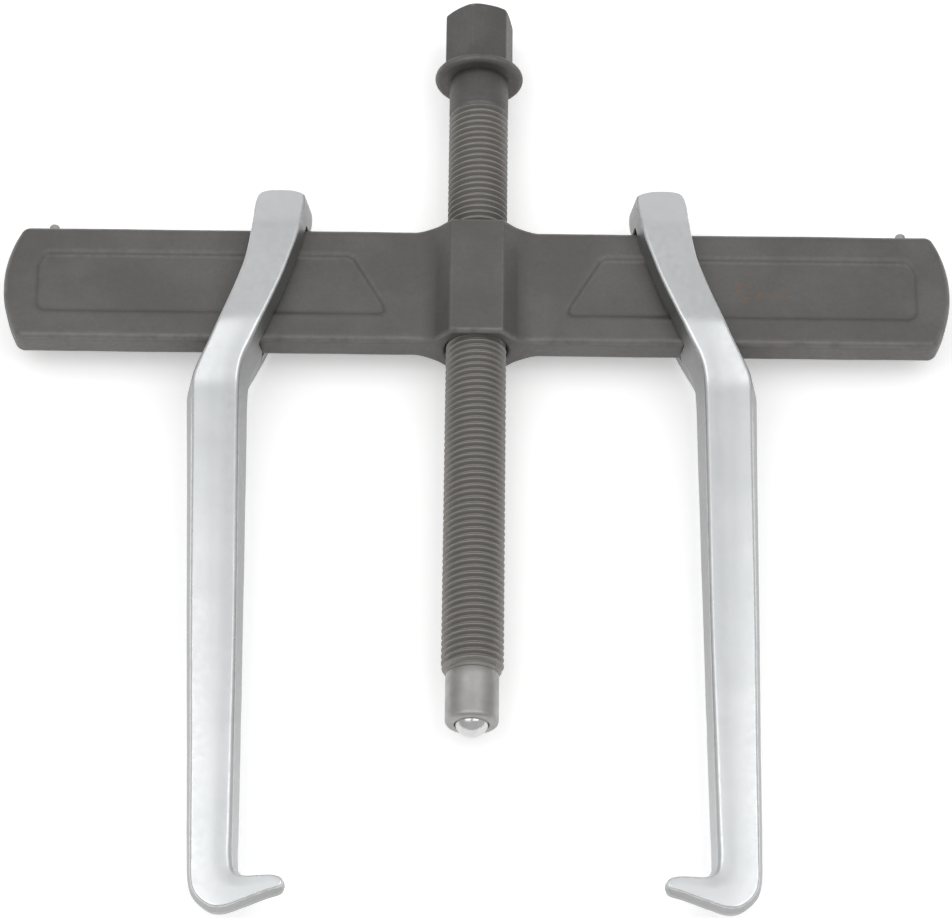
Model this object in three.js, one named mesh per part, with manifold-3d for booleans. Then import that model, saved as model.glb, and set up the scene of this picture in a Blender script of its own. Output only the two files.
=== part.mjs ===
// Two-jaw sliding gear puller, millimetres, lying on its back.
// X runs along the crossbeam, +Y along the forcing screw towards its hex head,
// +Z out of the front face. The origin is the centre of the flat back face of the boss.
import * as THREE from 'three';
import { mergeVertices } from 'three/addons/utils/BufferGeometryUtils.js';
import Module from 'manifold-3d';

const wasm = await Module();
wasm.setup();

// ---- crossbeam ----
const BOSS_HALF_DEPTH = 12.1; // height of the puller's mid-plane above the back of the boss
const BEAM_HALF_LENGTH = 141.1;
const BEAM_HALF_HEIGHT = 19.15;
const BEAM_THICKNESS = 10;
const BEAM_END_RADIUS = 38;
const BEAM_CORNER = 3;
const BEAM_EDGE = 2.2;
const BOSS_HALF_HEIGHT = 19.5;
const BOSS_PAD_HALF_WIDTH = 7.6;
const BOSS_EDGE = 1.6;
const BOSS_FLANK = [[18.5, 4.6], [15.5, 5.1], [13.6, 5.9], [12.2, 7.1], [8.2, 11.6]];
const BORE_MOUTH_RADIUS = 10.1;
const PANEL_TOP = 10.8;
const PANEL_BOTTOM = -9.6;
const PANEL_OUTER = 131.6;
const PANEL_INNER_TOP = 37.2;
const PANEL_INNER_BOTTOM = 26.6;
const PANEL_DEPTH = 1;
const PANEL_DRAFT = 1.3;
const PANEL_CORNER = 3.2;

// ---- stop pins ----
const PIN_X = 127.5;
const PIN_RADIUS = 1.5;
const PIN_BOTTOM = 13.8;
const PIN_TOP = 22.3;
const PIN_HOLE_RADIUS = 1.85;
const PIN_HOLE_BOTTOM = 13.4;

// ---- forcing screw, M18 x 2, right-hand ----
const THREAD_MAJOR = 9;
const THREAD_MINOR = 7.77;
const PITCH = 2;
const THREAD_SEGMENTS = 16;
const THREAD_TOP = 61.6;
const THREAD_CHAMFER = -121.8;
const THREAD_BOTTOM = -124.5;
const THREAD_CLEARANCE = 0.4;
const SHANK_RADIUS = 9;
const COLLAR_BOTTOM = 74;
const COLLAR_TOP = 79;
const COLLAR_RADIUS = 13.5;
const HEX_ACROSS_FLATS = 19;
const HEX_TOP = 98.3;
const HEX_TURN = -11.7; // degrees from the front to the nearest corner
const TIP_RADIUS = 7.65;
const TIP_END = -140;
const BALL_RADIUS = 5;
const BALL_Y = -138.4;
const SOCKET_RADIUS = 5.3;

// ---- jaws ----
const LEFT_JAW_X = -58.4;
const RIGHT_JAW_X = 55.1;
const LEFT_JAW_LEAN = 1; // degrees that the play in its window lets each jaw hang out of square
const RIGHT_JAW_LEAN = 0.85;
const LEFT_JAW_DROP = 0.4; // the same play lets the left jaw sit low and the right one high
const RIGHT_JAW_RISE = 0.45;
const WINDOW_HALF_HEIGHT = 20.2;
const WINDOW_WIDTH = 11.5;

// Outline of a jaw on its mid-plane, counter-clockwise for the right-hand jaw:
// distance outward from the head centre, height, draw-in of the front and back faces, and the
// share of that draw-in on the side itself where it isn't SIDE_DRAFT.
const HEAD_TOP = [[5.2, 30.1, 1.6], [0, 30.7, 1.7], [-5.6, 30.1, 1.9]];
const INNER_SIDE = [
  [-8.2, 28.7, 2.3], [-8.9, 25.5, 2.4], [-7.9, 18, 2.3], [-6.4, 11.5, 2.1], [-4.4, 5.5, 1.9],
  [-2.4, -1, 2], [0.2, -8, 2.1], [3.2, -15.5, 2.2], [6.3, -23, 2.4], [8.3, -28, 2.6],
  [9.2, -32.5, 2.7], [9.4, -37.5, 2.7], [9.1, -110, 2.3], [8.9, -172, 2.8], [8.9, -181.3, 2.8],
];
const HOOK = [
  [8.5, -184.4, 2.2], [6.6, -185.6, 1.1, 0], [-0.8, -185.6, 0.9, 0], [-2.8, -186.2, 0.7],
  [-3.9, -187.2, 0.7], [-4.1, -188.9, 0.7], [-3.2, -190, 0.7], [1, -191.5, 0.8],
  [7.6, -194.2, 0.9], [12.6, -196, 1], [16, -195.9, 1], [19.3, -194, 1.1],
  [21.8, -190.9, 1.2], [22.8, -187, 1.3],
];
const OUTER_SIDE = [
  [23.2, -180, 1.5], [25.2, -110, 1.9], [27.15, -40, 2.6], [27.2, -35.5, 2.6], [26.6, -32, 2.5],
  [25.2, -28.6, 2.3], [21.2, -20, 2], [17.5, -11, 1.9], [14.2, -2.5, 1.8], [11.7, 5, 1.7],
  [10.2, 11.5, 1.4], [9.2, 18, 1.2], [8.4, 25, 1.1], [7.3, 28.6, 1.3],
];
const JAW_OUTLINE = [...HEAD_TOP, ...INNER_SIDE, ...HOOK, ...OUTER_SIDE];
// Half depth of a jaw by height: full round the window, then a long taper to the hook.
const JAW_DEPTH = [[-200, 3.7], [-186, 3.9], [-35.5, 10.6], [-16, 13.5], [18, 13.5], [31, 11.6]];
const SECTION = [-1, -0.88, 0, 0.88, 1]; // levels of the section, as shares of the half depth
const SIDE_DRAFT = 0.66; // share of the draw-in on the sides, the rest rounds off the edges

const steel = (color, roughness, metalness) => (
  new THREE.MeshStandardMaterial({ color, roughness, metalness })
);
const forged = steel(0x6c6b66, 0.62, 0.7);
const screwSteel = steel(0x68645f, 0.5, 0.8);
const plated = steel(0xc9ccce, 0.32, 0.95);
const polished = steel(0xdadcdd, 0.15, 1);
const pinSteel = steel(0xa9abab, 0.4, 0.9);

function solid(geometry) {
  geometry.deleteAttribute('normal');
  geometry.deleteAttribute('uv');
  const merged = mergeVertices(geometry, 1e-3);
  return new wasm.Manifold(new wasm.Mesh({
    numProp: 3,
    vertProperties: new Float32Array(merged.attributes.position.array),
    triVerts: new Uint32Array(merged.index.array),
  }));
}

function surface(body) {
  const mesh = body.getMesh();
  const g = new THREE.BufferGeometry();
  g.setAttribute('position', new THREE.BufferAttribute(new Float32Array(mesh.vertProperties), 3));
  g.setIndex(new THREE.BufferAttribute(new Uint32Array(mesh.triVerts), 1));
  g.computeVertexNormals();
  return g;
}

function turned(profile, segments = 32) {
  const points = profile.map(([r, y]) => new THREE.Vector2(r, y));
  return solid(new THREE.LatheGeometry(points, segments));
}

function polygon(points) {
  return new THREE.Shape(points.map(([x, y]) => new THREE.Vector2(x, y)));
}

// A rod with a right-hand thread. The rows of a cylinder alternate between root and crest and
// climb one pitch a turn, so each row runs on into the row above it and makes one helix.
function threadedRod(top, turns, clearance) {
  const n = THREAD_SEGMENTS;
  const rows = 2 * turns;
  const grid = new THREE.CylinderGeometry(1, 1, turns * PITCH, n, rows, true);
  const xyz = [];
  for (let row = 0; row <= rows; row += 1) {
    const r = clearance + (row % 2 === 0 ? THREAD_MINOR : THREAD_MAJOR);
    for (let column = 0; column <= n; column += 1) {
      const angle = (2 * Math.PI * column) / n;
      const y = top - (row * PITCH) / 2 + (column * PITCH) / n;
      xyz.push(r * Math.sin(angle), y, r * Math.cos(angle));
    }
  }
  const vertex = (row, column) => row * (n + 1) + column;
  const upper = xyz.length / 3;
  xyz.push(0, top + PITCH / 2, 0, 0, top - turns * PITCH + PITCH / 2, 0);
  const index = [...grid.index.array];
  for (let column = 0; column < n; column += 1) {
    index.push(upper, vertex(0, column), vertex(0, column + 1));
    index.push(upper + 1, vertex(rows, column + 1), vertex(rows, column));
  }
  for (let row = 0; row < 2; row += 1) {
    index.push(upper, vertex(row, n), vertex(row + 1, n));
    index.push(upper + 1, vertex(rows - row, 0), vertex(rows - row - 1, 0));
  }
  const g = new THREE.BufferGeometry();
  g.setAttribute('position', new THREE.BufferAttribute(new Float32Array(xyz), 3));
  g.setIndex(index);
  return solid(g);
}

// ---- crossbeam ----
function beamOutline() {
  const run = Math.sqrt(BEAM_END_RADIUS ** 2 - BEAM_HALF_HEIGHT ** 2);
  const centre = BEAM_HALF_LENGTH - BEAM_END_RADIUS;
  const shoulder = centre + run - BEAM_CORNER;
  const span = Math.asin((BEAM_HALF_HEIGHT - BEAM_CORNER * 0.8) / BEAM_END_RADIUS);
  const s = new THREE.Shape();
  s.moveTo(shoulder, -BEAM_HALF_HEIGHT);
  s.absarc(centre, 0, BEAM_END_RADIUS, -span, span, false);
  s.lineTo(shoulder, BEAM_HALF_HEIGHT);
  s.lineTo(-shoulder, BEAM_HALF_HEIGHT);
  s.absarc(-centre, 0, BEAM_END_RADIUS, Math.PI - span, Math.PI + span, false);
  s.lineTo(-shoulder, -BEAM_HALF_HEIGHT);
  return s;
}

function plate() {
  const g = new THREE.ExtrudeGeometry(beamOutline(), {
    depth: BEAM_THICKNESS - 2 * BEAM_EDGE,
    bevelThickness: BEAM_EDGE,
    bevelSize: BEAM_EDGE,
    bevelOffset: -BEAM_EDGE,
    bevelSegments: 2,
    curveSegments: 10,
  });
  g.translate(0, 0, BEAM_EDGE - BEAM_THICKNESS / 2);
  return solid(g);
}

function boss() {
  const half = [...BOSS_FLANK, [BOSS_PAD_HALF_WIDTH, BOSS_HALF_DEPTH]];
  const back = [...half].reverse();
  const ring = [
    ...half,
    ...back.map(([x, z]) => [-x, z]),
    ...half.map(([x, z]) => [-x, -z]),
    ...back.map(([x, z]) => [x, -z]),
  ];
  const g = new THREE.ExtrudeGeometry(polygon(ring), {
    depth: 2 * (BOSS_HALF_HEIGHT - BOSS_EDGE),
    bevelThickness: BOSS_EDGE,
    bevelSize: BOSS_EDGE,
    bevelOffset: -BOSS_EDGE,
    bevelSegments: 2,
  });
  g.translate(0, 0, BOSS_EDGE - BOSS_HALF_HEIGHT);
  g.rotateX(-Math.PI / 2);
  return solid(g);
}

function panelCutter(side, face) {
  const c = PANEL_CORNER;
  const outline = [
    [PANEL_INNER_BOTTOM + 1.5, PANEL_BOTTOM], [PANEL_OUTER - c, PANEL_BOTTOM],
    [PANEL_OUTER, PANEL_BOTTOM + c], [PANEL_OUTER, PANEL_TOP - 1.6 * c],
    [PANEL_OUTER - 0.5 * c, PANEL_TOP - 0.4 * c], [PANEL_OUTER - c, PANEL_TOP],
    [PANEL_INNER_TOP + 1.5, PANEL_TOP], [PANEL_INNER_TOP - 0.8, PANEL_TOP - 1.2],
    [PANEL_INNER_BOTTOM + 0.6, PANEL_BOTTOM + 4], [PANEL_INNER_BOTTOM, PANEL_BOTTOM + 1.6],
  ];
  const depth = 2;
  const g = new THREE.ExtrudeGeometry(polygon(outline.map(([x, y]) => [side * x, y])), {
    depth,
    bevelThickness: PANEL_DEPTH,
    bevelSize: PANEL_DRAFT,
    bevelOffset: -PANEL_DRAFT,
    bevelSegments: 1,
  });
  const level = BEAM_THICKNESS / 2;
  g.translate(0, 0, face > 0 ? level : -level - depth);
  return solid(g);
}

function pinHole(side) {
  const g = new THREE.CylinderGeometry(PIN_HOLE_RADIUS, PIN_HOLE_RADIUS, 10, 12);
  g.translate(side * PIN_X, PIN_HOLE_BOTTOM + 5, 0);
  return solid(g);
}

function crossbeam() {
  const mouth = 2;
  const bore = threadedRod(THREAD_TOP + 3 - 20 * PITCH, 25, THREAD_CLEARANCE);
  let body = plate().add(boss()).subtract(bore);
  for (const end of [-1, 1]) {
    const y = end * BOSS_HALF_HEIGHT;
    const cone = [
      [0, y - end * mouth], [BORE_MOUTH_RADIUS - mouth, y - end * mouth],
      [BORE_MOUTH_RADIUS + 1, y + end], [0, y + end],
    ];
    body = body.subtract(turned(end > 0 ? cone : cone.reverse()));
  }
  for (const side of [-1, 1]) {
    body = body.subtract(pinHole(side));
    for (const face of [-1, 1]) body = body.subtract(panelCutter(side, face));
  }
  return body;
}

function stopPin() {
  return turned([
    [0, PIN_BOTTOM], [PIN_RADIUS - 0.3, PIN_BOTTOM], [PIN_RADIUS, PIN_BOTTOM + 0.4],
    [PIN_RADIUS, PIN_TOP - 0.8], [PIN_RADIUS - 0.4, PIN_TOP - 0.25], [0, PIN_TOP],
  ], 12);
}

// ---- forcing screw ----
function thread() {
  const sleeve = THREAD_MAJOR + 0.4;
  const envelope = turned([
    [0, THREAD_BOTTOM], [THREAD_MINOR - 0.05, THREAD_BOTTOM], [sleeve, THREAD_CHAMFER],
    [sleeve, THREAD_TOP - 0.6], [0, THREAD_TOP - 0.6],
  ], THREAD_SEGMENTS);
  return threadedRod(THREAD_TOP + 3, 97, 0).intersect(envelope);
}

function shankAndCollar() {
  const round = (COLLAR_TOP - COLLAR_BOTTOM) / 2;
  const profile = [
    [0, THREAD_TOP - 1.2], [THREAD_MINOR, THREAD_TOP - 1.2], [SHANK_RADIUS, THREAD_TOP],
    [SHANK_RADIUS, COLLAR_BOTTOM],
  ];
  for (let i = 0; i <= 6; i += 1) {
    const a = -Math.PI / 2 + (i * Math.PI) / 6;
    const r = COLLAR_RADIUS - round + round * Math.cos(a);
    profile.push([r, COLLAR_BOTTOM + round + round * Math.sin(a)]);
  }
  profile.push([0, COLLAR_TOP]);
  return turned(profile);
}

function hexHead() {
  const corner = HEX_ACROSS_FLATS / Math.sqrt(3);
  const height = HEX_TOP - COLLAR_TOP + 1;
  const bar = new THREE.CylinderGeometry(corner, corner, height, 6);
  bar.rotateY(THREE.MathUtils.degToRad(HEX_TURN));
  bar.translate(0, HEX_TOP - height / 2, 0);
  const crown = HEX_ACROSS_FLATS / 2 - 0.6;
  const rim = corner + 0.2;
  const cap = turned([
    [0, COLLAR_TOP - 2], [rim, COLLAR_TOP - 2], [rim, HEX_TOP - (rim - crown) * 0.58],
    [crown, HEX_TOP - 0.01], [0, HEX_TOP - 0.01],
  ]);
  return solid(bar).intersect(cap);
}

function tip() {
  const socket = new THREE.SphereGeometry(SOCKET_RADIUS, 24, 14);
  socket.translate(0, BALL_Y, 0);
  return turned([
    [0, TIP_END], [TIP_RADIUS - 1.2, TIP_END], [TIP_RADIUS - 0.35, TIP_END + 0.4],
    [TIP_RADIUS, TIP_END + 1.3], [TIP_RADIUS, THREAD_BOTTOM + 0.5], [0, THREAD_BOTTOM + 0.5],
  ]).subtract(solid(socket));
}

function forcingScrew() {
  return thread().add(shankAndCollar()).add(hexHead()).add(tip());
}

// ---- jaws ----
function jawHalfDepth(y) {
  let i = 0;
  while (i < JAW_DEPTH.length - 2 && y > JAW_DEPTH[i + 1][0]) i += 1;
  const [[y0, d0], [y1, d1]] = [JAW_DEPTH[i], JAW_DEPTH[i + 1]];
  return d0 + ((d1 - d0) * (y - y0)) / (y1 - y0);
}

// One station of the outline, moved in from the mid-plane edge by a share of its draw-in.
function drawnIn(i, share) {
  const n = JAW_OUTLINE.length;
  const [x, y, inset] = JAW_OUTLINE[i];
  const [xa, ya] = JAW_OUTLINE[(i + n - 1) % n];
  const [xb, yb] = JAW_OUTLINE[(i + 1) % n];
  const before = new THREE.Vector2(ya - y, x - xa).normalize();
  const after = new THREE.Vector2(y - yb, xb - x).normalize();
  const inward = before.add(after).normalize();
  return new THREE.Vector2(x, y).addScaledVector(inward, inset * share);
}

function jaw(side) {
  const face = JAW_OUTLINE.map((_, i) => drawnIn(i, 1));
  const layers = SECTION.length - 1;
  const g = new THREE.ExtrudeGeometry(polygon(face.map((p) => [side * p.x, p.y])), {
    depth: layers,
    steps: layers,
    bevelEnabled: false,
  });
  const p = g.attributes.position;
  for (let k = 0; k < p.count; k += 1) {
    const here = new THREE.Vector2(side * p.getX(k), p.getY(k));
    const i = face.findIndex((q) => q.distanceTo(here) < 1e-3);
    const [, y, , draft = SIDE_DRAFT] = JAW_OUTLINE[i];
    const layer = Math.round(p.getZ(k));
    const q = drawnIn(i, [1, draft, 0, draft, 1][layer]);
    p.setXYZ(k, side * q.x, q.y, SECTION[layer] * jawHalfDepth(y));
  }
  const window = new THREE.BoxGeometry(70, 2 * WINDOW_HALF_HEIGHT, WINDOW_WIDTH);
  return solid(g).subtract(solid(window));
}

// ---- assembly ----
const puller = new THREE.Group();
puller.position.z = BOSS_HALF_DEPTH;

function place(name, body, material, x = 0, y = 0, lean = 0) {
  const mesh = new THREE.Mesh(surface(body), material);
  mesh.name = name;
  mesh.position.set(x, y, 0);
  mesh.rotation.z = THREE.MathUtils.degToRad(lean);
  puller.add(mesh);
}

place('crossbeam', crossbeam(), forged);
place('stop_pin_left', stopPin(), pinSteel, -PIN_X);
place('stop_pin_right', stopPin(), pinSteel, PIN_X);
place('forcing_screw', forcingScrew(), screwSteel);
place('tip_ball', solid(new THREE.SphereGeometry(BALL_RADIUS, 20, 14)), polished, 0, BALL_Y);
place('jaw_left', jaw(-1), plated, LEFT_JAW_X, -LEFT_JAW_DROP, LEFT_JAW_LEAN);
place('jaw_right', jaw(1), plated, RIGHT_JAW_X, RIGHT_JAW_RISE, RIGHT_JAW_LEAN);

const group = new THREE.Group();
group.add(puller);

export default group;
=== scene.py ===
"""Looks of the two-jaw gear puller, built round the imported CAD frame.

Lengths are worked out in millimetres and turned into metres when a mesh is made. X runs along
the crossbeam, Y along the forcing screw, Z out of the front face. Depths are counted from the
puller's mid-plane, and widths of a jaw from the centre of its head. The floor, the lights
and the camera are placed in metres.
"""

import math
from itertools import product

import bmesh
import bpy
import numpy as np
from mathutils import Matrix, Vector


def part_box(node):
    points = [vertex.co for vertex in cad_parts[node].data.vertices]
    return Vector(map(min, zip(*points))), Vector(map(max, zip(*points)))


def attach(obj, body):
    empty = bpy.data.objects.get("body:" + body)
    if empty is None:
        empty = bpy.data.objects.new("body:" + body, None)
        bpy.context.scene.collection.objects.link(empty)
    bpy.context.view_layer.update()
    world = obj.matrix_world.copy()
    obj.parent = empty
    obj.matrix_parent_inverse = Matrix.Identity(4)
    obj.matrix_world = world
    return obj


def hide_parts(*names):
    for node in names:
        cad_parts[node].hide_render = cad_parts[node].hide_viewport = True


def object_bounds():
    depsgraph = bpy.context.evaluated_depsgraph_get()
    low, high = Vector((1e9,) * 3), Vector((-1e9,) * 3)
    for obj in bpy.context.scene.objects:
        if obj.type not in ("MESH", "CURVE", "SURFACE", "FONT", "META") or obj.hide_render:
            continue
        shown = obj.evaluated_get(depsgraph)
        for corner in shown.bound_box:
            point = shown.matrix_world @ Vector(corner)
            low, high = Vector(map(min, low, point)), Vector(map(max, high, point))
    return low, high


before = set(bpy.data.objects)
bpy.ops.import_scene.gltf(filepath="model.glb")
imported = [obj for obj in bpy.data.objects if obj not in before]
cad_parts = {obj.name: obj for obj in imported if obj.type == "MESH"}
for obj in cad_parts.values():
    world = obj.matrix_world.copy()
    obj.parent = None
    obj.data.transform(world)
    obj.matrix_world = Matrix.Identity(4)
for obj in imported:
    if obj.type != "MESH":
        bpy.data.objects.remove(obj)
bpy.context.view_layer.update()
MM = 0.001

# ---- places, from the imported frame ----
beam_lo, beam_hi = (np.array(v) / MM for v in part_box("crossbeam"))
screw_lo, screw_hi = (np.array(v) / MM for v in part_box("forcing_screw"))
ball_lo, ball_hi = (np.array(v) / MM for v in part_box("tip_ball"))
MID = (beam_lo[2] + beam_hi[2]) / 2

# ---- crossbeam ----
BOSS_HALF_DEPTH = (beam_hi[2] - beam_lo[2]) / 2
BEAM_HALF_LENGTH = (beam_hi[0] - beam_lo[0]) / 2
BOSS_HALF_HEIGHT = (beam_hi[1] - beam_lo[1]) / 2
BEAM_HALF_HEIGHT = 19.15
BEAM_HALF_THICKNESS = 5.0
BEAM_END_RADIUS = 38.0
BEAM_CORNER = 1.7
BEAM_EDGE = 2.2
BEAM_GRID = 0.6  # spacing of the grid that the surface is found on
BOSS_EDGE = 1.6
BOSS_WIDTHS = (12.0, 19.0)  # half widths over which the boss runs out in the beam
FLANK_POINT = (12.2, 7.1)  # half width and half depth of a point on the flank of the boss
FLANK_NORMAL = (0.7475, 0.6645)
FLANK_BLEND = 2.6
PAD_EDGE = 0.55
BORE_RADIUS = 9.15
BORE_EDGE = 0.3
MOUTH_RADIUS = 9.9  # of the bevel at each end of the bore
MOUTH_EDGE = 0.4
PANEL = [  # the recess right of the boss; the left one is its mirror image
    (28.1, -10.4), (128.6, -10.4), (130.4, -9.6), (131.5, -7.8), (131.6, 5.7), (130.0, 9.5),
    (128.4, 10.6), (38.7, 10.6), (36.4, 9.4), (27.2, -6.4), (26.6, -8.8),
]
PANEL_DEPTH = 1.0
PANEL_DRAFT = 1.25
PANEL_FLOOR_EDGE = 0.4
PANEL_RIM_EDGE = 0.5
WAVE_HEIGHT = 0.09
DENT_HEIGHT = 0.03

# ---- forcing screw, M18 x 2 ----
MAJOR = 9.0
PITCH = 2.0
CREST_AT = 61.6  # height of a crest on the front line
SHANK_FROM = 63.6
SHANK_TO = 75.9
RUN_OUT = 2.6  # height over which the thread fades into the shank
RUN_OUT_BELOW = 3.0  # how far below the shank the fading starts
THREAD_COLUMNS = 60
# one pitch of the thread's section: share of the pitch, radius
THREAD_PROFILE = [
    (0.0, 9.0), (0.05, 8.985), (0.085, 8.9), (0.2, 8.5), (0.32, 8.09), (0.385, 7.89),
    (0.44, 7.8), (0.5, 7.77), (0.56, 7.8), (0.615, 7.89), (0.68, 8.09), (0.8, 8.5),
    (0.915, 8.9), (0.95, 8.985),
]
CREST_WEAR = (8.38, 0.62)  # radius where the wear of a crest begins, and its rise to full wear
CHAMFER = [(-124.5, 7.72), (-121.8, 9.4)]  # height and radius where the thread starts
COLLAR_RADIUS = (screw_hi[0] - screw_lo[0]) / 2
COLLAR_Y = 76.15
COLLAR_ROUND = 1.55
COLLAR_FILLET = 1.0
HEX_APOTHEM = 9.5
HEX_EDGE = 0.5
HEX_TOP = screw_hi[1]
HEX_TURN = math.radians(-11.7)
TIP_RADIUS = 7.65
TIP_END = screw_lo[1]
BALL_RADIUS = (ball_hi[0] - ball_lo[0]) / 2
BALL_Y = (ball_lo[1] + ball_hi[1]) / 2
BALL_GAP = 0.12

# ---- jaws: outward distance, height, draw-in of the face behind the mid-plane edge ----
JAW_OUTLINE = [
    (5.2, 30.1, 1.6), (0, 30.7, 1.7), (-5.6, 30.1, 1.9), (-8.2, 28.7, 2.3), (-8.9, 25.5, 2.4),
    (-7.9, 18, 2.3), (-6.4, 11.5, 2.1), (-4.4, 5.5, 1.9), (-2.4, -1, 2), (0.2, -8, 2.1),
    (3.2, -15.5, 2.2), (6.3, -23, 2.4), (8.3, -28, 2.6), (9.2, -32.5, 2.7), (9.4, -37.5, 2.7),
    (9.3, -60, 2.6), (9.1, -110, 2.3), (8.95, -150, 2.6), (8.9, -172, 2.8), (8.9, -181.3, 2.8),
    (8.5, -184.4, 2.2), (6.6, -185.6, 1.1), (3, -185.6, 0.9), (-0.8, -185.6, 0.9),
    (-2.8, -186.2, 0.7), (-3.9, -187.2, 0.7), (-4.1, -188.9, 0.7), (-3.2, -190, 0.7),
    (1, -191.5, 0.8), (7.6, -194.2, 0.9), (12.6, -196, 1), (16, -195.9, 1),
    (19.3, -194, 1.1), (21.8, -190.9, 1.2), (22.8, -187, 1.3), (23.2, -180, 1.5),
    (24, -150, 1.7), (25.2, -110, 1.9), (26.4, -65, 2.3), (27.15, -40, 2.6), (27.2, -35.5, 2.6),
    (26.6, -32, 2.5), (25.2, -28.6, 2.3), (21.2, -20, 2), (17.5, -11, 1.9), (14.2, -2.5, 1.8),
    (11.7, 5, 1.7), (10.2, 11.5, 1.4), (9.2, 18, 1.2), (8.4, 25, 1.1), (7.3, 28.6, 1.3),
]
# height, half depth
JAW_DEPTH = [(-200, 3.7), (-187, 3.8), (-35.5, 10.5), (-16, 13.5), (17, 13.5), (31, 11.5)]
JAW_LEAN = {"left": 1.0, "right": 0.85}  # degrees out of square in the window
JAW_RISE = {"left": -0.4, "right": 0.45}
JAW_CROWN = 0.26  # drop of the face towards its edges, as a share of the draw-in
JAW_CROWN_WIDTH = 7.5
JAW_FLARE = 0.78  # share of the draw-in reached at the face
JAW_WAVE_HEIGHT = 0.05
WINDOW_HALF_HEIGHT = 20.2
WINDOW_HALF_WIDTH = 5.75
WINDOW_CORNER = 1.2
WINDOW_EDGE = 0.5


# ---- signed distances, negative inside the steel ----
def round_max(a, b, r):
    """Where two shapes overlap, with the edge between them rounded."""
    corner = np.hypot(np.maximum(a + r, 0), np.maximum(b + r, 0))
    return np.minimum(-r, np.maximum(a, b)) + corner


def round_min(a, b, r):
    """Two shapes together, with a fillet between them."""
    return -round_max(-a, -b, r)


def nearest_edge(x, y, points, values=None):
    """Signed distance to a closed outline, and the outline's value at the nearest point."""
    points = np.asarray(points, float)
    values = np.zeros(len(points)) if values is None else np.asarray(values, float)
    shape = np.broadcast(x, y).shape
    best, there = np.full(shape, np.inf), np.zeros(shape)
    inside = np.zeros(shape, bool)
    for i in range(len(points)):
        (ax, ay), (bx, by) = points[i - 1], points[i]
        ex, ey = bx - ax, by - ay
        t = np.clip(((x - ax) * ex + (y - ay) * ey) / (ex * ex + ey * ey), 0, 1)
        d = (x - ax - t * ex) ** 2 + (y - ay - t * ey) ** 2
        closer = d < best
        best = np.where(closer, d, best)
        there = np.where(closer, values[i - 1] + t * (values[i] - values[i - 1]), there)
        if ay != by:
            inside ^= ((ay > y) != (by > y)) & (x < ax + (y - ay) * ex / ey)
    return np.where(inside, -1, 1) * np.sqrt(best), there


def waves(seed, size, count=10):
    """Smooth unevenness, as a forging has from its die: waves in random directions."""
    rng = np.random.default_rng(seed)
    k = rng.normal(size=(count, 3))
    k *= (2 * np.pi / (size * rng.uniform(0.6, 1.6, count)) / np.linalg.norm(k, axis=1))[:, None]
    phase = rng.uniform(0, 2 * np.pi, count)

    def height(x, y, z):
        return sum(np.sin(a * x + b * y + c * z + p) for (a, b, c), p in zip(k, phase)) / count

    return height


beam_waves = waves(4, 16)
beam_dents = waves(9, 5)


def beam_field(x, y, z):
    """Crossbeam: the bar with its boss and arc-shaped ends, less the panels and the bore."""
    ax, ay, az = np.abs(x), np.abs(y), np.abs(z)
    across = FLANK_NORMAL[0] * (ax - FLANK_POINT[0]) + FLANK_NORMAL[1] * (az - FLANK_POINT[1])
    boss = round_max(across, az - BOSS_HALF_DEPTH, PAD_EDGE)
    section = round_min(az - BEAM_HALF_THICKNESS, boss, FLANK_BLEND)
    centre = BEAM_HALF_LENGTH - BEAM_END_RADIUS
    end = np.hypot(np.maximum(ax - centre, 0), y) - BEAM_END_RADIUS
    boss_share = np.interp(ax, BOSS_WIDTHS, (1, 0))
    boss_share = boss_share * boss_share * (3 - 2 * boss_share)
    top = BEAM_HALF_HEIGHT + (BOSS_HALF_HEIGHT - BEAM_HALF_HEIGHT) * boss_share
    plan = round_max(end, ay - top, BEAM_CORNER)
    body = round_max(section, plan, BEAM_EDGE + (BOSS_EDGE - BEAM_EDGE) * boss_share)
    rim, _ = nearest_edge(ax, y, PANEL)
    fall = PANEL_DEPTH * rim - PANEL_DRAFT * (az - BEAM_HALF_THICKNESS)
    wall = fall / math.hypot(PANEL_DEPTH, PANEL_DRAFT)
    recess = round_max(wall, BEAM_HALF_THICKNESS - PANEL_DEPTH - az, PANEL_FLOOR_EDGE)
    body = round_max(body, -recess, PANEL_RIM_EDGE)
    body = body + WAVE_HEIGHT * beam_waves(x, y, z) + DENT_HEIGHT * beam_dents(x, y, z)
    out = np.hypot(x, z)
    body = round_max(body, BORE_RADIUS - out, BORE_EDGE)
    bevel = (ay - BOSS_HALF_HEIGHT + MOUTH_RADIUS - out) * 0.7071
    return round_max(body, bevel, MOUTH_EDGE)


def head_field(x, y, z):
    """Hex head with its collar. The hex has a corner left of the front."""
    flats = []
    for i in range(3):
        a = HEX_TURN + math.pi / 6 + i * math.pi / 3
        flats.append(np.abs(x * math.sin(a) + z * math.cos(a)) - HEX_APOTHEM)
    prism = round_max(round_max(flats[0], flats[1], HEX_EDGE), flats[2], HEX_EDGE)
    out = np.hypot(x, z)
    crown = (out - HEX_APOTHEM + 0.4) * 0.5 + (y - HEX_TOP) * 0.866
    prism = round_max(round_max(prism, y - HEX_TOP, HEX_EDGE), crown, HEX_EDGE)
    prism = round_max(prism, COLLAR_Y - y, HEX_EDGE)
    collar = np.hypot(np.maximum(out - COLLAR_RADIUS + COLLAR_ROUND, 0), y - COLLAR_Y)
    return round_min(prism, collar - COLLAR_ROUND, COLLAR_FILLET)


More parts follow.
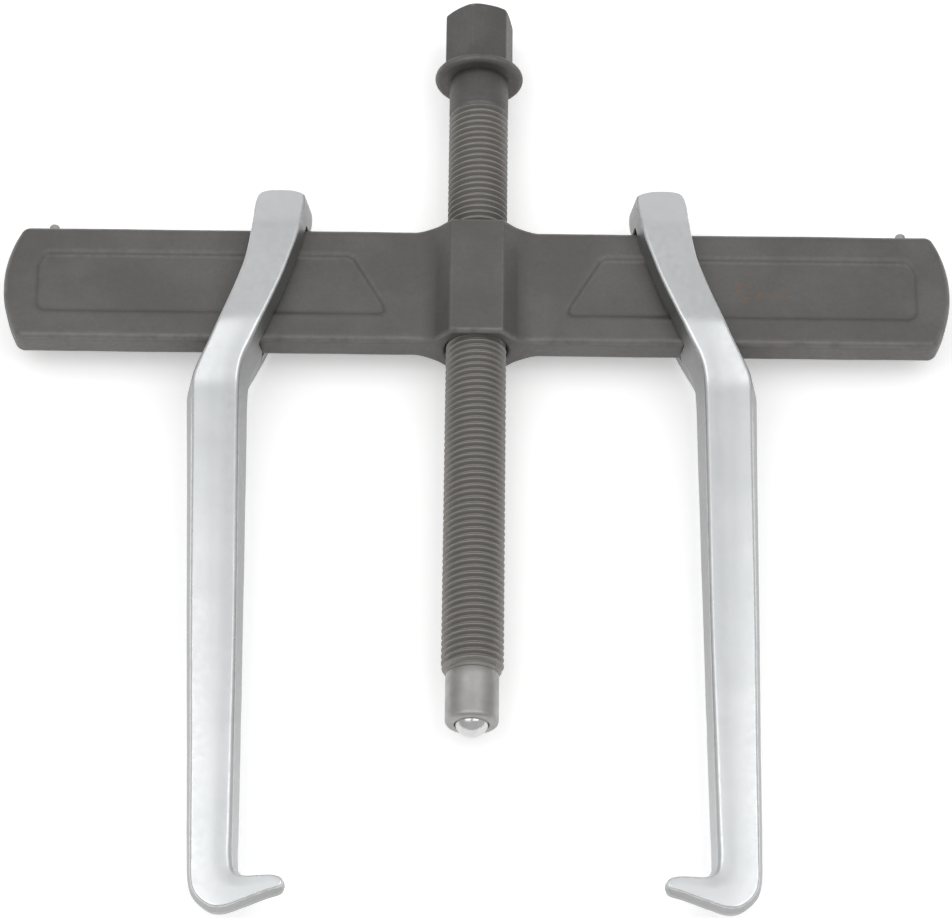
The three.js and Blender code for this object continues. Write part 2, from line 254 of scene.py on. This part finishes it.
class Table:
    """Values on a grid over X and Y, read smoothly between its points."""

    def __init__(self, lo, step, values):
        self.lo, self.step, self.values = lo, step, values

    def blur(self, rounds):
        v = self.values
        for _ in range(rounds):
            for axis in (0, 1):
                pad = np.pad(v, [(1, 1) if a == axis else (0, 0) for a in (0, 1)], "edge")
                n = v.shape[axis]
                parts = [np.take(pad, range(i, i + n), axis) for i in (0, 1, 2)]
                v = (parts[0] + 2 * parts[1] + parts[2]) / 4
        self.values = v
        return self

    def __call__(self, x, y):
        weights = []
        for value, lo, n in ((x, self.lo[0], 0), (y, self.lo[1], 1)):
            u = (value - lo) / self.step
            i = np.clip(np.floor(u).astype(int), 1, self.values.shape[n] - 3)
            t = u - i
            w = [(1 - t) ** 3, 3 * t**3 - 6 * t**2 + 4, -3 * t**3 + 3 * t**2 + 3 * t + 1, t**3]
            weights.append((i, w))
        (i, wx), (j, wy) = weights
        return sum(
            wx[a] * wy[b] * self.values[i + a - 1, j + b - 1] / 36
            for a, b in product(range(4), repeat=2)
        )


def spline(points, cuts):
    """A closed smooth line through the points (centripetal Catmull-Rom)."""
    p = np.asarray(points, float)
    n, out = len(p), []
    for i in range(n):
        a, b, c, d = p[i - 1], p[i], p[(i + 1) % n], p[(i + 2) % n]
        t = np.cumsum([0] + [math.dist(u[:2], v[:2]) ** 0.5 for u, v in ((a, b), (b, c), (c, d))])
        for s in np.linspace(t[1], t[2], cuts, endpoint=False):
            ab = a + (b - a) * (s - t[0]) / (t[1] - t[0])
            bc = b + (c - b) * (s - t[1]) / (t[2] - t[1])
            cd = c + (d - c) * (s - t[2]) / (t[3] - t[2])
            ac = ab + (bc - ab) * (s - t[0]) / (t[2] - t[0])
            bd = bc + (cd - bc) * (s - t[1]) / (t[3] - t[1])
            out.append(ac + (bd - ac) * (s - t[1]) / (t[2] - t[1]))
    return np.array(out)


def jaw_tables():
    """Distance to the jaw's outline, and the draw-in there, over the whole jaw."""
    outline = spline(JAW_OUTLINE, 10)
    step, lo, counts = 0.3, (-13.0, -202.0), (150, 795)
    x = lo[0] + step * np.arange(counts[0])[:, None]
    y = lo[1] + step * np.arange(counts[1])[None, :]
    distance, draw_in = nearest_edge(x, y, outline[:, :2], outline[:, 2])
    return Table(lo, step, distance).blur(2), Table(lo, step, draw_in).blur(40)


edge_of_jaw, draw_in_of_jaw = jaw_tables()
depth_y = np.arange(-200, 34, 0.25)
depth_w = np.interp(depth_y, *np.transpose(JAW_DEPTH))
for _ in range(60):
    depth_w[1:-1] = (depth_w[:-2] + 2 * depth_w[1:-1] + depth_w[2:]) / 4
jaw_waves = waves(21, 18)


def jaw_field(x, y, z):
    """The right-hand jaw, about the centre of its head."""
    az = np.abs(z)
    half = np.interp(y, depth_y, depth_w)
    edge, draw_in = edge_of_jaw(x, y), draw_in_of_jaw(x, y)
    side = edge + JAW_FLARE * draw_in * az / half
    near = np.clip(1 + edge / JAW_CROWN_WIDTH, 0, 1)
    face = az - half + JAW_CROWN * draw_in * near**2
    body = round_max(side, face, np.clip(0.42 * draw_in, 0.55, 1.05))
    body = body + JAW_WAVE_HEIGHT * jaw_waves(x, y, z)
    hole = round_max(np.abs(y) - WINDOW_HALF_HEIGHT, az - WINDOW_HALF_WIDTH, WINDOW_CORNER)
    return round_max(body, -hole, WINDOW_EDGE)


# ---- from a field to a mesh ----
PROBE = 0.03  # distance over which a field's slope is read
BEND_REACH = 0.35  # distance over which its bend is read


def ticks(*runs):
    """Grid lines along one axis, as (start, step) runs closed by the last line."""
    parts = [np.arange(a, b, step) for (a, step), (b, _) in zip(runs, runs[1:])]
    return np.concatenate([*parts, runs[-1][:1]])


def surface(field, *axes):
    """Surface nets: a point in every cell that the surface crosses, then moved onto it.

    Returns the points, the faces, the normals and how sharply the surface bends at each point.
    """
    y, z = axes[1][None, :, None], axes[2][None, None, :]
    slabs = [field(s[:, None, None], y, z) for s in np.array_split(axes[0], len(axes[0]) // 40 + 1)]
    f = np.concatenate([np.broadcast_to(s, (len(s), y.size, z.size)) for s in slabs])
    inside = f < 0
    corners = list(product((0, 1), repeat=3))
    n = np.array(f.shape) - 1
    count = sum(
        inside[i:i + n[0], j:j + n[1], k:k + n[2]].astype(np.int8) for i, j, k in corners
    )
    cells = np.argwhere((count > 0) & (count < 8))
    values = np.stack([f[tuple((cells + c).T)] for c in corners], 1)
    total, crossings = np.zeros((len(cells), 3)), np.zeros(len(cells))
    for a, b in product(range(8), repeat=2):
        gap = np.subtract(corners[b], corners[a])
        if gap.sum() != 1 or np.abs(gap).sum() != 1:
            continue
        cross = (values[:, a] < 0) != (values[:, b] < 0)
        t = values[cross, a] / (values[cross, a] - values[cross, b])
        total[cross] += np.array(corners[a]) + t[:, None] * gap
        crossings[cross] += 1
    points = cells + total / crossings[:, None]
    points = np.stack([np.interp(points[:, a], range(len(axes[a])), axes[a]) for a in range(3)], 1)
    step = np.diff(axes[2]).min()

    number = np.full(n, -1)
    number[tuple(cells.T)] = np.arange(len(cells))
    faces = []
    for axis in range(3):
        u, v = (axis + 1) % 3, (axis + 2) % 3
        here = np.take(inside, range(n[axis]), axis)
        there = np.take(inside, range(1, n[axis] + 1), axis)
        at = np.argwhere(here != there)
        at = at[(at[:, u] > 0) & (at[:, v] > 0) & (at[:, u] < n[u]) & (at[:, v] < n[v])]
        ring = []
        for du, dv in ((-1, -1), (0, -1), (0, 0), (-1, 0)):
            cell = at.copy()
            cell[:, u] += du
            cell[:, v] += dv
            ring.append(number[tuple(cell.T)])
        quads = np.stack(ring, 1)
        outward = here[tuple(at.T)]
        faces.append(np.where(outward[:, None], quads, quads[:, ::-1]))
    faces = np.concatenate(faces)

    def slope(p, h=PROBE):
        """The field's gradient at the points."""
        g = np.empty_like(p)
        for axis in range(3):
            shift = np.zeros(3)
            shift[axis] = h
            g[:, axis] = (field(*(p + shift).T) - field(*(p - shift).T)) / (2 * h)
        return g

    for _ in range(4):
        g = slope(points)
        move = (field(*points.T) / (g**2).sum(1))[:, None] * g
        points -= np.clip(move, -step, step)
    g = slope(points)
    normals = g / np.linalg.norm(g, axis=1)[:, None]
    bend = sum(
        field(*(points + BEND_REACH * s * np.eye(3)[a]).T) for a in range(3) for s in (-1, 1)
    ) - 6 * field(*points.T)
    return points, faces, normals, bend / BEND_REACH**2


def turned(profile, segments):
    """A turned piece: the profile (radius, height) spun round the screw's axis."""
    profile = np.asarray(profile, float)
    angle = np.arange(segments) * 2 * np.pi / segments
    points, ring = [], []
    for r, y in profile:
        if r < 1e-6:
            ring.append([len(points)] * segments)
            points.append((0, y, 0))
            continue
        ring.append(list(range(len(points), len(points) + segments)))
        points += [(r * math.sin(a), y, r * math.cos(a)) for a in angle]
    faces = []
    for low, high in zip(ring, ring[1:]):
        for i in range(segments):
            j = (i + 1) % segments
            loop = list(dict.fromkeys((low[i], low[j], high[j], high[i])))
            if len(loop) > 2:
                faces.append(loop)
    return np.array(points), faces


def arc(centre, radius, start, stop, count):
    """Points of an arc in a profile, angles in degrees from straight out."""
    a = np.radians(np.linspace(start, stop, count))
    return [(centre[0] + radius * math.cos(t), centre[1] + radius * math.sin(t)) for t in a]


def thread():
    """A strip one pitch high wound up the screw; each turn shares its edge with the next."""
    columns, m = THREAD_COLUMNS, len(THREAD_PROFILE)
    bottom, top = CHAMFER[0][0] - 1.2, SHANK_FROM + 1.6
    turns = math.ceil((top - bottom) / PITCH)
    first = CREST_AT - PITCH * math.ceil((CREST_AT - bottom) / PITCH)
    t = np.arange(turns * columns + 1)
    phase, radius = np.transpose(THREAD_PROFILE)
    angle = (t * 2 * np.pi / columns)[:, None]
    y = first + (t * PITCH / columns)[:, None] + (1 - phase)[None, :] * PITCH - PITCH
    fade = np.clip((y - SHANK_FROM + RUN_OUT_BELOW) / RUN_OUT, 0, 1)
    fade = fade * fade * (3 - 2 * fade)
    r = MAJOR - (MAJOR - radius[None, :]) * (1 - fade)
    r = np.where(y > SHANK_FROM + 0.2, MAJOR - 0.5, r)
    r = np.minimum(r, np.interp(y, *np.transpose([(-130, 7.2), (-124.7, 7.2), *CHAMFER])))
    angle = np.broadcast_to(angle, y.shape)
    points = np.stack([r * np.sin(angle), y, r * np.cos(angle)], -1).reshape(-1, 3)
    faces = []
    for i in range(len(t) - 1):
        for j in range(m):
            if j + 1 < m:
                below, below_next = i * m + j + 1, (i + 1) * m + j + 1
            elif i >= columns:
                below, below_next = (i - columns) * m, (i - columns + 1) * m
            else:
                continue
            faces.append((i * m + j, below, below_next, (i + 1) * m + j))
    crest = (radius - CREST_WEAR[0]) / CREST_WEAR[1]
    edge = np.broadcast_to(crest[None, :], y.shape) * (1 - fade)
    return points, faces, edge.reshape(-1), (1 - fade).reshape(-1)


# ---- materials ----
class Material:
    """A node material: each pattern is made with a short call and joined to the shader."""

    def __init__(self, name, **constants):
        self.data = bpy.data.materials.new(name)
        self.data.use_nodes = True
        self.tree = self.data.node_tree
        self.shader = self.tree.nodes["Principled BSDF"]
        self.place = self.add("ShaderNodeTexCoord").outputs["Object"]
        for socket, value in constants.items():
            self.shader.inputs[socket.replace("_", " ")].default_value = value

    def add(self, kind, values=None, **settings):
        node = self.tree.nodes.new(kind)
        for key, value in settings.items():
            setattr(node, key, value)
        for key, value in (values or {}).items():
            self.put(node.inputs[key], value)
        return node

    def put(self, socket, value):
        if isinstance(value, bpy.types.NodeSocket):
            self.tree.links.new(value, socket)
        else:
            socket.default_value = value

    def stretched(self, *scale):
        return self.add(
            "ShaderNodeMapping", {"Vector": self.place, "Scale": scale}
        ).outputs["Vector"]

    def noise(self, size, detail=3, rough=0.55, place=None, distortion=0.0):
        """Noise with features of about this size in millimetres, from 0 to 1."""
        return self.add("ShaderNodeTexNoise", {
            "Vector": place or self.place, "Scale": 1 / (size * MM), "Detail": detail,
            "Roughness": rough, "Distortion": distortion,
        }).outputs["Fac"]

    def attribute(self, name):
        return self.add("ShaderNodeAttribute", attribute_name=name).outputs["Fac"]

    def span(self, value, a, b, low=0.0, high=1.0, smooth=True):
        return self.add("ShaderNodeMapRange", {
            "Value": value, "From Min": a, "From Max": b, "To Min": low, "To Max": high,
        }, interpolation_type="SMOOTHSTEP" if smooth else "LINEAR").outputs["Result"]

    def math(self, operation, a, b):
        return self.add("ShaderNodeMath", {0: a, 1: b}, operation=operation).outputs[0]

    def near(self, spot, size):
        """1 at a spot on the puller, given in metres, falling to 0 over its size."""
        away = self.add("ShaderNodeVectorMath", {
            0: self.place, 1: spot,
        }, operation="DISTANCE").outputs["Value"]
        return self.span(away, size, size * 0.2)

    def mix(self, share, a, b):
        node = self.add("ShaderNodeMix", data_type="RGBA", clamp_factor=True)
        self.put(node.inputs["Factor"], share)
        self.put(node.inputs[6], a)
        self.put(node.inputs[7], b)
        return node.outputs[2]

    def bump(self, height, depth, below=None):
        """Relief of this depth in millimetres."""
        values = {"Height": height, "Strength": 1.0, "Distance": depth * MM}
        if below is not None:
            values["Normal"] = below
        return self.add("ShaderNodeBump", values).outputs["Normal"]

    def finish(self, colour, roughness, normal):
        self.put(self.shader.inputs["Base Color"], colour)
        self.put(self.shader.inputs["Roughness"], roughness)
        self.put(self.shader.inputs["Normal"], normal)
        return self.data


def grey(value, warm=0.0):
    return (value * (1 + warm), value, value * (1 - warm), 1.0)


def forged_steel():
    m = Material("forged_phosphate", Metallic=0.55)
    cloud = m.span(m.noise(22, 4), 0.35, 0.65)
    speck = m.span(m.noise(0.7, 3, 0.7), 0.3, 0.75)
    colour = m.mix(cloud, grey(0.122, 0.03), grey(0.148, 0.02))
    colour = m.mix(m.math("MULTIPLY", speck, 0.3), colour, grey(0.095, 0.04))
    stain = m.span(m.noise(4, 5, 0.65, distortion=0.6), 0.5, 0.72)
    spot = m.near((83 * MM, -2 * MM, MID * MM + 0.004), 13 * MM)
    faint = m.span(m.noise(30, 2), 0.58, 0.72, 0.0, 0.3)
    rust = m.math("MULTIPLY", stain, m.math("MAXIMUM", spot, faint))
    colour = m.mix(rust, colour, (0.21, 0.125, 0.075, 1))
    # lighter where the edge share is high: wear on the beam's rims, and painted highlights on the
    # boss and its pad
    worn = m.math("MULTIPLY", m.span(m.attribute("edge"), 0.35, 1.0), m.span(m.noise(4), 0.2, 0.6))
    colour = m.mix(m.math("MULTIPLY", worn, 0.5), colour, grey(0.23, 0.03))
    rough = m.span(m.noise(1.6, 4, 0.7), 0.3, 0.7, 0.46, 0.60)
    rough = m.math("SUBTRACT", rough, m.math("MULTIPLY", worn, 0.08))
    normal = m.bump(m.noise(3.2, 3, 0.5), 0.035)
    normal = m.bump(m.noise(0.45, 3, 0.6), 0.018, normal)
    return m.finish(colour, rough, normal)


def screw_steel():
    m = Material("screw_phosphate", Metallic=0.7)
    cloud = m.span(m.noise(12, 4), 0.35, 0.65)
    colour = m.mix(cloud, grey(0.117, 0.035), grey(0.140, 0.03))
    speck = m.span(m.noise(0.6, 3, 0.7), 0.35, 0.75)
    colour = m.mix(m.math("MULTIPLY", speck, 0.25), colour, grey(0.10, 0.07))
    edge = m.attribute("edge")
    colour = m.mix(m.attribute("cut"), colour, grey(0.255, 0.05))
    # lighter at worn thread crests and head edges, and the painted highlight round the collar's rim
    worn = m.math("MULTIPLY", m.span(edge, 0.7, 1.0), m.span(m.noise(3.0), 0.25, 0.6))
    colour = m.mix(m.math("MULTIPLY", worn, 0.5), colour, grey(0.36, 0.04))
    rough = m.span(m.noise(1.2, 4, 0.7), 0.3, 0.7, 0.48, 0.62)
    normal = m.bump(m.noise(1.1, 3, 0.5, m.stretched(1, 3, 1)), 0.02)
    normal = m.bump(m.noise(0.35, 3, 0.6), 0.012, normal)
    return m.finish(colour, rough, normal)


def turned_steel():
    m = Material("turned_steel", Metallic=1.0)
    cloud = m.span(m.noise(7, 3), 0.3, 0.7)
    rings = m.noise(1.0, 3, 0.7, m.stretched(0.02, 5.0, 0.02))
    colour = m.mix(cloud, grey(0.36, 0.02), grey(0.42, 0.015))
    colour = m.mix(m.span(rings, 0.55, 0.8, 0, 0.35), colour, grey(0.3, 0.02))
    worn = m.span(m.attribute("edge"), 0.3, 1.0, 0.0, 0.35)
    colour = m.mix(worn, colour, grey(0.26, 0.02))
    rough = m.span(m.noise(2.0, 4, 0.7), 0.3, 0.7, 0.40, 0.52)
    normal = m.bump(rings, 0.012)
    return m.finish(colour, rough, normal)


def plated_steel():
    m = Material("satin_plating", Metallic=1.0)
    cloud = m.span(m.noise(25, 4), 0.35, 0.65)
    colour = m.mix(cloud, (0.625, 0.642, 0.652, 1), (0.66, 0.672, 0.678, 1))
    dull = m.span(m.noise(6, 4, 0.65), 0.5, 0.75, 0.0, 0.25)
    colour = m.mix(dull, colour, (0.57, 0.59, 0.60, 1))
    # painted shade: points on the jaw's sides, marked by the side share, are painted much darker
    # than its front and back faces
    side = m.attribute("side")
    colour = m.mix(side, colour, (0.335, 0.34, 0.335, 1))
    worn = m.math("MULTIPLY", m.span(m.attribute("edge"), 0.3, 0.9), m.span(m.noise(2.2), 0.3, 0.6))
    colour = m.mix(m.math("MULTIPLY", worn, 0.4), colour, (0.80, 0.81, 0.81, 1))
    rough = m.span(m.noise(1.8, 4, 0.65), 0.3, 0.7, 0.30, 0.37)
    rough = m.math("ADD", rough, m.math("MULTIPLY", side, 0.12))
    rough = m.math("SUBTRACT", rough, m.math("MULTIPLY", worn, 0.05))
    normal = m.bump(m.noise(3.4, 2, 0.5), 0.006)
    normal = m.bump(m.noise(0.6, 2, 0.5), 0.0012, normal)
    return m.finish(colour, rough, normal)


def ball_steel():
    m = Material("polished_ball", Metallic=1.0)
    cloud = m.span(m.noise(2.5, 4), 0.3, 0.7)
    colour = m.mix(cloud, grey(0.56), grey(0.64))
    rough = m.span(m.noise(0.8, 4, 0.7), 0.35, 0.7, 0.14, 0.24)
    normal = m.bump(m.noise(0.3, 2), 0.001)
    return m.finish(colour, rough, normal)


def pin_steel():
    m = Material("drawn_pin_steel", Metallic=1.0)
    colour = m.mix(m.span(m.noise(1.2, 3), 0.35, 0.65), grey(0.33, 0.02), grey(0.45, 0.02))
    rough = m.span(m.noise(0.6, 3), 0.3, 0.7, 0.34, 0.5)
    normal = m.bump(m.noise(0.5, 3, 0.6, m.stretched(4, 0.2, 4)), 0.01)
    return m.finish(colour, rough, normal)


# ---- pieces ----
def piece(name, points, faces, material, body, node, slot, normals=None, **shares):
    """A mesh piece that rides on a body. The shares are read by its material."""
    mesh = bpy.data.meshes.new(name)
    at = (np.asarray(points) + [0, 0, MID]) * MM
    mesh.from_pydata(at.tolist(), [], faces if isinstance(faces, list) else faces.tolist())
    mesh.shade_smooth()
    for share, values in shares.items():
        mesh.attributes.new(share, "FLOAT", "POINT").data.foreach_set("value", values)
    if normals is not None:
        mesh.normals_split_custom_set_from_vertices(normals.tolist())
    mesh.materials.append(material)
    obj = bpy.data.objects.new(name, mesh)
    bpy.context.collection.objects.link(obj)
    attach(obj, body)
    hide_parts(node)
    return obj


def close_ends(obj):
    """Caps the open ends of a piece and turns all its faces outward."""
    bm = bmesh.new()
    bm.from_mesh(obj.data)
    rim = [e for e in bm.edges if e.is_boundary]
    bmesh.ops.holes_fill(bm, edges=rim, sides=0)
    bmesh.ops.recalc_face_normals(bm, faces=bm.faces)
    bm.to_mesh(obj.data)
    bm.free()


forged, screwed, turned_look = forged_steel(), screw_steel(), turned_steel()
plated, polished, drawn = plated_steel(), ball_steel(), pin_steel()


def build_crossbeam():
    half_beam = np.array([BEAM_HALF_LENGTH, BOSS_HALF_HEIGHT, BOSS_HALF_DEPTH])
    grid = [ticks((-half - 1, BEAM_GRID), (half + 1, 0)) for half in half_beam]
    p, f, n, _ = surface(beam_field, *grid)
    out, tilt = np.abs(p), np.abs(n)
    # rounded rims of the long sides and the ends are rubbed lighter
    long_rim = tilt[:, 1] * (out[:, 1] > BEAM_HALF_HEIGHT - 3)
    end_rim = tilt[:, 0] * (out[:, 0] > BEAM_HALF_LENGTH - 9)
    wear_and_highlight = 2 * tilt[:, 2] * np.maximum(long_rim, end_rim)
    # painted highlight: on the boss this lightening is made half again as strong
    wear_and_highlight *= 1 + 0.5 * (out[:, 2] > BEAM_HALF_THICKNESS + 2)
    # painted highlight: a light band along the rounded side edges of the boss's pad
    pad_rim = (out[:, 2] > BOSS_HALF_DEPTH - 0.8) * (out[:, 1] < BOSS_HALF_HEIGHT - 1.5)
    wear_and_highlight = np.maximum(wear_and_highlight, 0.9 * pad_rim * (1 - np.abs(np.clip(tilt[:, 0] / 0.35, 0, 2) - 1)))
    piece("beam_forging", p, f, forged, "crossbeam", "crossbeam", "forged_steel", n, edge=wear_and_highlight)


def build_pin(side):
    lo, hi = (np.array(v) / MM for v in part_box("stop_pin_" + side))
    r, low, top = (hi[0] - lo[0]) / 2, lo[1], hi[1]
    dome = arc((r - 0.7, top - 1.0), 0.7, 0, 65, 5)
    profile = [
        (0, low), (r - 0.3, low), (r, low + 0.4), (r, top - 1.0), *dome,
        (0.6, top - 0.08), (0, top),
    ]
    p, f = turned(profile, 28)
    p[:, 0] += (lo[0] + hi[0]) / 2
    edge = np.clip((p[:, 1] - top + 1.0) * 2, 0, 1)
    piece("pin_" + side, p, f, drawn, "crossbeam", "stop_pin_" + side, "pin_steel", edge=edge)


def build_jaws():
    """One forging, the left one turned over."""
    across = ticks((-10, 0.38), (28.4, 0))
    along = ticks((-197.2, 0.38), (-176, 0.9), (-46, 0.4), (31.8, 0))
    p, f, n, bend = surface(jaw_field, across, along, ticks((-14.4, 0.4), (14.4, 0)))
    for side, turn in (("right", 1), ("left", -1)):
        lean = np.array(Matrix.Rotation(math.radians(JAW_LEAN[side]), 3, "Z"))
        flip = lean @ np.diag([turn, 1, turn])
        lo, hi = (np.array(v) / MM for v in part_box("jaw_" + side))
        at, out = p @ flip.T, n @ flip.T
        at += [(lo[0] + hi[0] - at[:, 0].min() - at[:, 0].max()) / 2, JAW_RISE[side], 0]
        # side share: 1 on faces turned away from front and back, where the plating paints shade
        piece(
            f"jaw_{side}_forging", at, f, plated, "jaw_" + side, "jaw_" + side, "plated_steel",
            out, edge=bend * 0.9, side=np.clip(1.25 - 1.8 * np.abs(n[:, 2]), 0, 1),
        )


def build_thread():
    p, f, edge, cut = thread()
    obj = piece(
        "screw_thread", p, f, screwed, "forcing_screw", "forcing_screw", "screw_steel",
        edge=edge, cut=cut,
    )
    close_ends(obj)


def build_shank():
    p, f = turned([
        (0, SHANK_FROM - 0.2), (8.4, SHANK_FROM - 0.2), (8.8, SHANK_FROM),
        (8.95, SHANK_FROM + 0.15), (MAJOR, SHANK_FROM + 0.5),
        *[(MAJOR, y) for y in np.linspace(65, 73, 5)], (MAJOR, SHANK_TO), (0, SHANK_TO),
    ], 72)
    piece("screw_shank", p, f, screwed, "forcing_screw", "forcing_screw", "screw_steel")


def build_head():
    across = ticks((-COLLAR_RADIUS - 0.8, 0.45), (COLLAR_RADIUS + 0.8, 0))
    p, f, n, bend = surface(head_field, across, ticks((73, 0.4), (HEX_TOP + 0.8, 0)), across)
    # painted highlight: the collar's outer rim is made lighter all round
    collar_rim_highlight = 0.8 * np.clip((np.hypot(p[:, 0], p[:, 2]) - COLLAR_RADIUS + 1.4) / 1.2, 0, 1)
    piece(
        "screw_head", p, f, screwed, "forcing_screw", "forcing_screw", "screw_steel", n,
        edge=np.maximum(bend * 0.55, collar_rim_highlight),
    )


def build_tip():
    """Bare turned end of the screw, with the seat of the ball."""
    seat_radius = BALL_RADIUS + BALL_GAP
    rim = math.degrees(math.asin((TIP_END - BALL_Y) / seat_radius))
    profile = [
        (0, -122.5), (7.1, -122.5), (7.1, -124.3), (7.5, -124.6), (TIP_RADIUS, -124.9),
        *[(TIP_RADIUS, y) for y in np.linspace(-127, TIP_END + 1.9, 7)],
        *arc((TIP_RADIUS - 1.5, TIP_END + 1.5), 1.5, 0, -90, 7),
        (5.5, TIP_END), (5.1, TIP_END + 0.05), *arc((0, BALL_Y), seat_radius, rim + 4, 90, 16),
    ]
    profile[-1] = (0, profile[-1][1])
    p, f = turned(profile, 88)
    edge = np.clip(TIP_END + 1.2 - p[:, 1], 0, 1)
    piece(
        "screw_tip", p, f, turned_look, "forcing_screw", "forcing_screw", "screw_steel", edge=edge
    )


def build_ball():
    profile = arc((0, BALL_Y), BALL_RADIUS, -90, 90, 33)
    profile[0], profile[-1] = (0, profile[0][1]), (0, profile[-1][1])
    p, f = turned(profile, 64)
    piece("ball", p, f, polished, "tip_ball", "tip_ball", "ball_steel")


build_crossbeam()
for name in ("left", "right"):
    build_pin(name)
build_jaws()
build_thread()
build_shank()
build_head()
build_tip()
build_ball()


# ---- floor, light and camera ----
FLOOR_HALF = 3.0
FLOOR_GLOW = 0.32  # keeps the floor near white, as in the photograph
SOFTBOX_SIZE = (1.0, 1.12)
SOFTBOX_Y, SOFTBOX_Z = -0.16, 1.2
SOFTBOX_RADIANCE = 1.3
WORLD_STRENGTH = 0.6
CAMERA_TILT = math.radians(27.3)  # between the line of sight and the puller's normal
CAMERA_AWAY = 1.0779
CAMERA_ROLL = math.radians(0.65)
CAMERA_LENS = 139.5
CAMERA_AIM = Vector((0.00036, -0.0555, MID * MM))


def build_floor():
    lo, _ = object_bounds()
    corners = [
        (x * FLOOR_HALF, y * FLOOR_HALF, lo.z) for x, y in ((-1, -1), (1, -1), (1, 1), (-1, 1))
    ]
    mesh = bpy.data.meshes.new("floor")
    mesh.from_pydata(corners, [], [(0, 1, 2, 3)])
    floor = bpy.data.objects.new("floor", mesh)
    bpy.context.collection.objects.link(floor)
    pale = bpy.data.materials.new("pale_floor")
    pale.use_nodes = True
    shader = pale.node_tree.nodes["Principled BSDF"]
    shader.inputs["Base Color"].default_value = (0.93, 0.93, 0.93, 1)
    shader.inputs["Roughness"].default_value = 0.8
    shader.inputs["Specular IOR Level"].default_value = 0.1
    shader.inputs["Emission Color"].default_value = (1, 1, 1, 1)
    shader.inputs["Emission Strength"].default_value = FLOOR_GLOW
    mesh.materials.append(pale)


def softbox(name, centre, aim, size, radiance):
    """A soft light of this radiance, width and height in metres, turned to its aim."""
    data = bpy.data.lights.new(name, "AREA")
    data.shape = "RECTANGLE"
    data.size, data.size_y = size
    data.energy = radiance * math.pi * size[0] * size[1]
    obj = bpy.data.objects.new(name, data)
    obj.location = centre
    obj.rotation_euler = (Vector(aim) - Vector(centre)).to_track_quat("-Z", "Y").to_euler()
    obj.visible_camera = False
    bpy.context.collection.objects.link(obj)


def build_lights():
    for x, name in ((-0.62, "softbox_left"), (0.67, "softbox_right")):
        softbox(
            name, (x, SOFTBOX_Y, SOFTBOX_Z), (x, SOFTBOX_Y, 0), SOFTBOX_SIZE, SOFTBOX_RADIANCE
        )
    softbox("softbox_far", (0, 1.45, 1.1), (0, 0, 0), (1.8, 0.8), 0.3)
    world = bpy.data.worlds.new("studio")
    bpy.context.scene.world = world
    world.use_nodes = True
    sky = world.node_tree.nodes["Background"]
    sky.inputs["Color"].default_value = (1, 1, 1, 1)
    sky.inputs["Strength"].default_value = WORLD_STRENGTH


def build_camera():
    back = Vector((0, -math.sin(CAMERA_TILT), math.cos(CAMERA_TILT)))
    camera = bpy.data.objects.new("camera", bpy.data.cameras.new("camera"))
    camera.data.lens = CAMERA_LENS
    camera.data.sensor_width = 36
    camera.location = CAMERA_AIM + back * CAMERA_AWAY
    roll = Matrix.Rotation(CAMERA_ROLL, 3, "Z")
    camera.rotation_euler = ((-back).to_track_quat("-Z", "Y").to_matrix() @ roll).to_euler()
    bpy.context.collection.objects.link(camera)
    bpy.context.scene.camera = camera


build_floor()
build_lights()
build_camera()
bpy.context.scene.view_settings.view_transform = "Standard"
